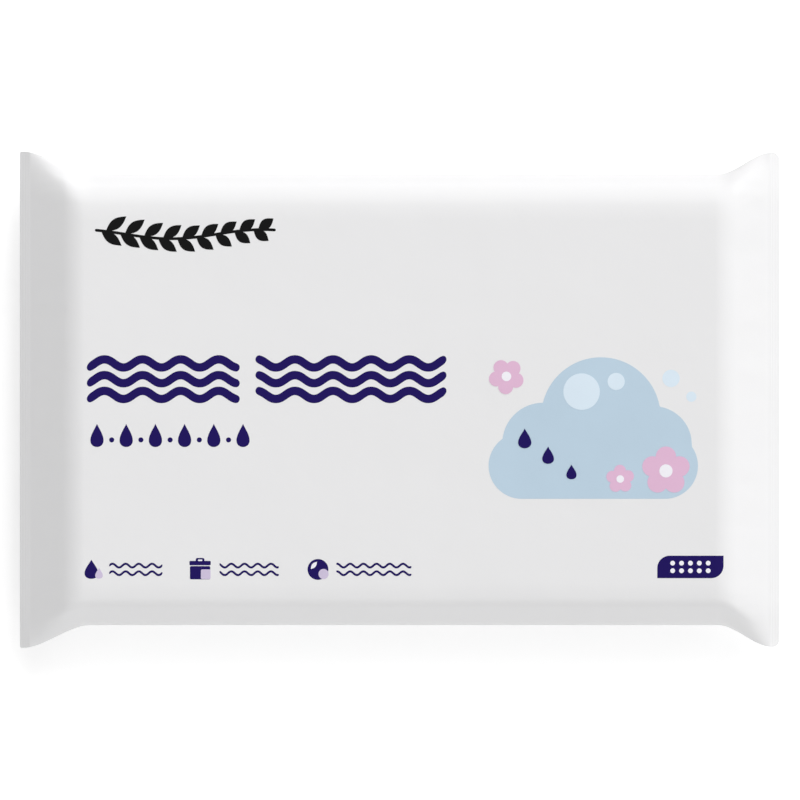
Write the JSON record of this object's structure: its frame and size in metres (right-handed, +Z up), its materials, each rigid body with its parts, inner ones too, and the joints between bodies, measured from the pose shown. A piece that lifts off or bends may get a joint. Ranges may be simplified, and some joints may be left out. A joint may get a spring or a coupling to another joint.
{
  "type": "wet wipes pack",
  "caption": "Sealed flow-wrapped film pack of wet wipes: a flat rounded block whose ends taper to flared crimped seals, with a seam folded flat along its back.",
  "frame": {"origin": "middle of the flat face that the pack lies on, under the middle of the pack", "axes": "+X along the pack from one end seal to the other, +Y across it towards the upper edge of the printed front, +Z up out of the front"},
  "size_m": [0.15, 0.0972, 0.016],
  "materials": {
    "film": "white laminated packing film, satin to matte, printed on the front",
    "navy_ink": "deep navy print on the film",
    "black_ink": "near black print on the film",
    "pale_blue_ink": "pale blue print on the film",
    "ice_blue_ink": "very pale blue print on the film",
    "pink_ink": "soft pink print on the film",
    "lilac_ink": "pale lilac tint print on the film"
  },
  "bodies": {
    "root": {"film_pack": "film"}
  },
  "joints": []
}
